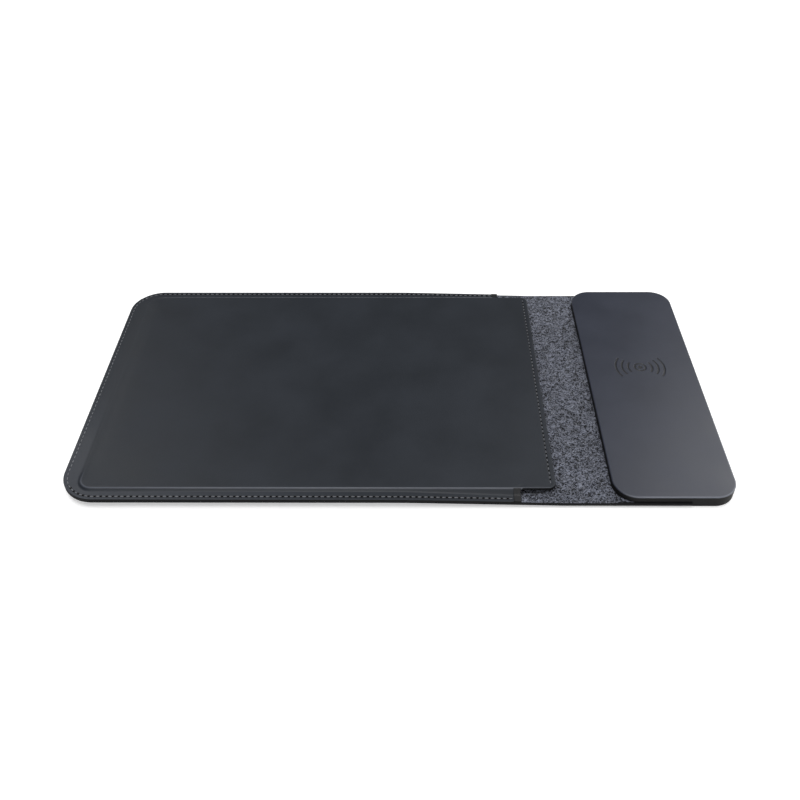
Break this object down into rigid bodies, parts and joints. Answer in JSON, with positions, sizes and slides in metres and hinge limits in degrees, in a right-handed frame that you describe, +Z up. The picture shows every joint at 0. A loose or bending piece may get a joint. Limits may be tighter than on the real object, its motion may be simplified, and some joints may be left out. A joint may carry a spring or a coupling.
{
  "type": "laptop sleeve with wireless charging flap",
  "caption": "Flat leather laptop sleeve and mouse mat; a felt-lined flap on a folding spine carries a slim wireless charging slab.",
  "frame": {"origin": "middle of the footprint, on the table", "axes": "+X along the length from the closed end of the pocket to the charging slab, +Y away from the user, +Z up"},
  "size_m": [0.464, 0.24, 0.0096],
  "materials": {
    "shell_leather": "fine grain, satin",
    "tab_leather": "smooth, satin",
    "felt": "heathered wool felt",
    "board": "pressed fibre board, matt",
    "lining": "short-pile microfibre",
    "steel": "zinc plated",
    "thread": "waxed twisted thread",
    "tape": "double-sided acrylic tape",
    "housing": "fine moulded texture",
    "skin": "smooth, soft touch, satin",
    "foot": "silicone, matt",
    "magnet": "nickel plated",
    "carrier": "moulded",
    "ferrite": "sintered, matt",
    "copper_coil": "enamelled stranded copper wire",
    "bead": "epoxy coated",
    "laminate": "solder mask over glass laminate",
    "chip_black": "moulded epoxy",
    "chip_tan": "sintered, tinned ends",
    "led": "translucent",
    "clear": "clear moulded",
    "inlet_steel": "nickel plated",
    "inlet_plastic": "moulded"
  },
  "bodies": {
    "sleeve": {"back_cover_leather": "shell_leather", "back_lining_felt": "felt", "front_panel_leather": "shell_leather", "front_stiffener_board": "board", "front_lining": "lining", "keeper_discs": "steel", "seam_end_tabs": "tab_leather", "pocket_seam_thread": "thread", "mouth_hem_thread": "thread"},
    "spine": {"spine_leather": "shell_leather", "spine_felt": "felt"},
    "flap": {"flap_leather": "shell_leather", "flap_felt": "felt", "housing_screws": "steel", "slab_bond_tape": "tape", "slab_base": "housing", "slab_lid": "housing", "slab_top_skin": "skin", "bay_foot_strip": "foot", "closure_magnets": "magnet", "coil_carrier": "carrier", "ferrite_plate": "ferrite", "transmitter_coil": "copper_coil", "coil_leads": "copper_coil", "coil_thermistor": "bead", "circuit_board": "laminate", "controller_chip": "chip_black", "bridge_transistors": "chip_black", "power_inductor": "chip_black", "resonance_capacitors": "chip_tan", "supply_capacitors": "chip_tan", "status_led": "led", "led_light_guide": "clear", "inlet_shell": "inlet_steel", "inlet_tongue": "inlet_plastic"}
  },
  "joints": [
    {"name": "lower_crease", "type": "hinge", "parent": "sleeve", "child": "spine", "pos_m": [0.114, 0, 0.0039], "axis": [0, -1, 0], "range_deg": [0, 90]},
    {"name": "upper_crease", "type": "hinge", "parent": "spine", "child": "flap", "pos_m": [0.1252, 0, 0.0039], "axis": [0, -1, 0], "range_deg": [0, 90]}
  ]
}
